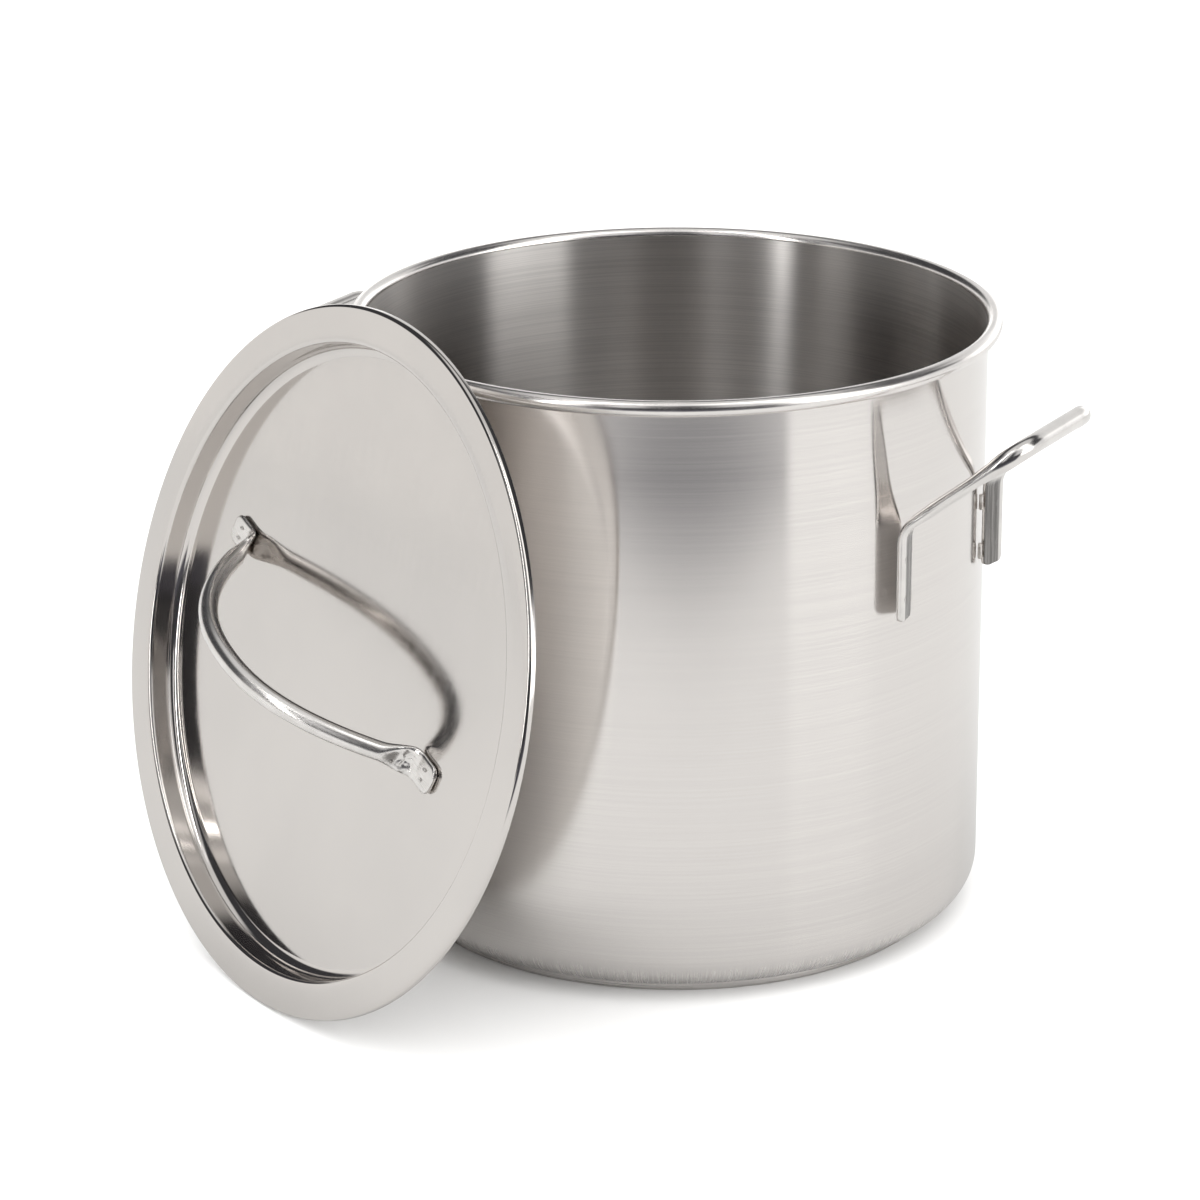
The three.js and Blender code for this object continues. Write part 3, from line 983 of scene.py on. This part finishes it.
def makeWorld(s):
    world = bpy.data.worlds.new("studioAir")
    bpy.context.scene.world = world
    world.use_nodes = True
    tree = world.node_tree
    tree.nodes.clear()
    towards = put(tree, "ShaderNodeTexCoord").outputs["Generated"]
    parts = put(tree, "ShaderNodeSeparateXYZ", {0: vectorCalc(tree, "NORMALIZE", towards)})
    back = calc(tree, "MULTIPLY", parts.outputs[1], -1.0)
    azimuth = calc(tree, "DEGREES", calc(tree, "ARCTAN2", parts.outputs[0], back))
    height = calc(tree, "DEGREES", calc(tree, "ARCSINE", parts.outputs[2]))
    light = None
    for middle, half, low, high, soft, glow in s["panels"]:
        offset = calc(tree, "WRAP", calc(tree, "SUBTRACT", azimuth, float(middle)), 180.0, -180.0)
        away = calc(tree, "ABSOLUTE", offset)
        mask = calc(tree, "MULTIPLY", ramped(tree, away, float(half), float(half + soft), 1.0, 0.0),
                    ramped(tree, height, float(low - soft), float(low)))
        mask = calc(tree, "MULTIPLY", mask, ramped(tree, height, float(high), float(high + soft), 1.0, 0.0))
        part = scaled(tree, vectorCalc(tree, "ADD", (0.0, 0.0, 0.0), glow), mask)
        light = vectorCalc(tree, "ADD", light if light else s["base"], part)
    glowing = put(tree, "ShaderNodeBackground", {"Color": light, "Strength": 1.0})
    plain = put(tree, "ShaderNodeBackground", {"Color": (*s["toCamera"], 1), "Strength": 1.0})
    ray = put(tree, "ShaderNodeLightPath")
    mix = put(tree, "ShaderNodeMixShader", {0: ray.outputs["Is Camera Ray"]})
    tree.links.new(glowing.outputs[0], mix.inputs[1])
    tree.links.new(plain.outputs[0], mix.inputs[2])
    output = put(tree, "ShaderNodeOutputWorld")
    tree.links.new(mix.outputs[0], output.inputs["Surface"])


def makeFloor(s):
    mesh = bpy.data.meshes.new("studioFloor")
    half = s["floorHalf"]
    corners = [(-half, -half, 0), (half, -half, 0), (half, half, 0), (-half, half, 0)]
    mesh.from_pydata(corners, [], [(0, 1, 2, 3)])
    floor = bpy.data.objects.new("studioFloor", mesh)
    bpy.context.scene.collection.objects.link(floor)
    finish, tree, shader = newFinish("paleFloor", s["floorColor"], 0.9)
    shader.inputs["Metallic"].default_value = 0.0
    shader.inputs["Specular IOR Level"].default_value = 0.0
    mottle = grain(tree, placeVector(tree), (3.0, 3.0, 3.0), 2.0)
    lighter = tuple(c + 0.01 for c in s["floorColor"])
    color = put(tree, "ShaderNodeMix", data_type="RGBA")
    ray = put(tree, "ShaderNodeLightPath")
    feed(tree, color.inputs[0], ray.outputs["Is Camera Ray"])
    feed(tree, color.inputs[6], (*s["floorMirrored"], 1.0))
    feed(tree, color.inputs[7], tinted(tree, mottle, s["floorColor"], lighter))
    feed(tree, shader.inputs["Base Color"], color.outputs[2])
    mesh.materials.append(finish)


def makeDimArea(s):
    # lies on the floor in front of the camera's view; only reflections see it
    mesh = bpy.data.meshes.new("dimArea")
    side, lift = s["dimHalf"], s["dimLift"]
    corners = [(-side, -side, lift), (side, -side, lift), (side, side, lift), (-side, side, lift)]
    mesh.from_pydata(corners, [], [(0, 1, 2, 3)])
    area = bpy.data.objects.new("dimArea", mesh)
    bpy.context.scene.collection.objects.link(area)
    finish = bpy.data.materials.new("dimAir")
    finish.use_nodes = True
    tree = finish.node_tree
    tree.nodes.clear()
    parts = put(tree, "ShaderNodeSeparateXYZ", {0: placeVector(tree)})
    back = calc(tree, "MULTIPLY", parts.outputs[1], -1.0)
    azimuth = calc(tree, "DEGREES", calc(tree, "ARCTAN2", parts.outputs[0], back))
    reach = calc(tree, "SQRT", calc(tree, "ADD", calc(tree, "POWER", parts.outputs[0], 2.0),
                                    calc(tree, "POWER", parts.outputs[1], 2.0)))
    middle, half = (s["dimFrom"] + s["dimTo"]) / 2, (s["dimTo"] - s["dimFrom"]) / 2
    away = calc(tree, "ABSOLUTE", calc(tree, "SUBTRACT", azimuth, middle))
    bow = calc(tree, "MULTIPLY", calc(tree, "POWER", calc(tree, "DIVIDE", away, half), 2.0), s["dimBow"])
    mask = calc(tree, "MULTIPLY", ramped(tree, away, half, half + s["dimSoft"], 1.0, 0.0),
                ramped(tree, calc(tree, "SUBTRACT", reach, bow), s["dimStart"], s["dimFull"]))
    clear = put(tree, "ShaderNodeBsdfTransparent")
    dim = put(tree, "ShaderNodeEmission", {"Color": (*s["dimColor"], 1)})
    mix = put(tree, "ShaderNodeMixShader", {0: mask, 1: clear.outputs[0], 2: dim.outputs[0]})
    output = put(tree, "ShaderNodeOutputMaterial")
    tree.links.new(mix.outputs[0], output.inputs["Surface"])
    mesh.materials.append(finish)
    area.visible_camera = area.visible_diffuse = area.visible_shadow = False


def makeSky(s):
    # an even glow for the floor's shadows, which reflections don't see
    mesh = bpy.data.meshes.new("skyDome")
    shape = bmesh.new()
    bmesh.ops.create_icosphere(shape, subdivisions=3, radius=s["skyRadius"])
    shape.to_mesh(mesh)
    shape.free()
    dome = bpy.data.objects.new("skyDome", mesh)
    bpy.context.scene.collection.objects.link(dome)
    finish = bpy.data.materials.new("skyGlow")
    finish.use_nodes = True
    tree = finish.node_tree
    tree.nodes.clear()
    heading, tilt = math.radians(s["skyHeading"]), math.radians(s["skyTilt"])
    front = (math.sin(heading) * math.cos(tilt), -math.cos(heading) * math.cos(tilt), math.sin(tilt))
    towards = vectorCalc(tree, "NORMALIZE", placeVector(tree))
    facing = put(tree, "ShaderNodeVectorMath", {0: towards, 1: front}, operation="DOT_PRODUCT")
    strength = ramped(tree, facing.outputs["Value"], *s["skySpread"], s["skyBehind"], s["skyGlow"])
    glow = put(tree, "ShaderNodeEmission", {"Color": (1, 1, 1, 1), "Strength": strength})
    output = put(tree, "ShaderNodeOutputMaterial")
    tree.links.new(glow.outputs[0], output.inputs["Surface"])
    mesh.materials.append(finish)
    dome.visible_camera = dome.visible_glossy = dome.visible_shadow = False


def makeOverhead(s):
    lamp = bpy.data.lights.new("overheadLight", "AREA")
    lamp.shape = "SQUARE"
    lamp.size = s["overheadSize"]
    lamp.energy = s["overheadPower"]
    light = bpy.data.objects.new("overheadLight", lamp)
    light.location = (0.0, 0.1, s["overheadHeight"])
    light.visible_glossy = False
    light.visible_camera = False
    bpy.context.scene.collection.objects.link(light)


makeWorld(studio)
makeFloor(studio)
makeDimArea(studio)
makeSky(studio)
makeOverhead(studio)
bpy.context.scene.view_settings.view_transform = "Standard"
bpy.context.scene.cycles.max_bounces = 16
bpy.context.scene.cycles.glossy_bounces = 14

cameraSet = {
    "place": (0.91509, -1.58498, 0.79041),
    "heading": 31.07,
    "down": 19.59,
    "roll": -0.34,
    "lens": 127.3,
}


def makeCamera(s):
    lens = bpy.data.cameras.new("camera")
    lens.lens = s["lens"]
    lens.sensor_width = 36.0
    lens.clip_start = 0.05
    lens.clip_end = 60.0
    camera = bpy.data.objects.new("camera", lens)
    aim = Matrix.Rotation(math.radians(s["heading"]), 4, "Z")
    aim = aim @ Matrix.Rotation(math.radians(90 - s["down"]), 4, "X")
    aim = aim @ Matrix.Rotation(math.radians(s["roll"]), 4, "Z")
    camera.matrix_world = Matrix.Translation(Vector(s["place"])) @ aim
    bpy.context.scene.collection.objects.link(camera)
    bpy.context.scene.camera = camera


makeCamera(cameraSet)
print("studio made")
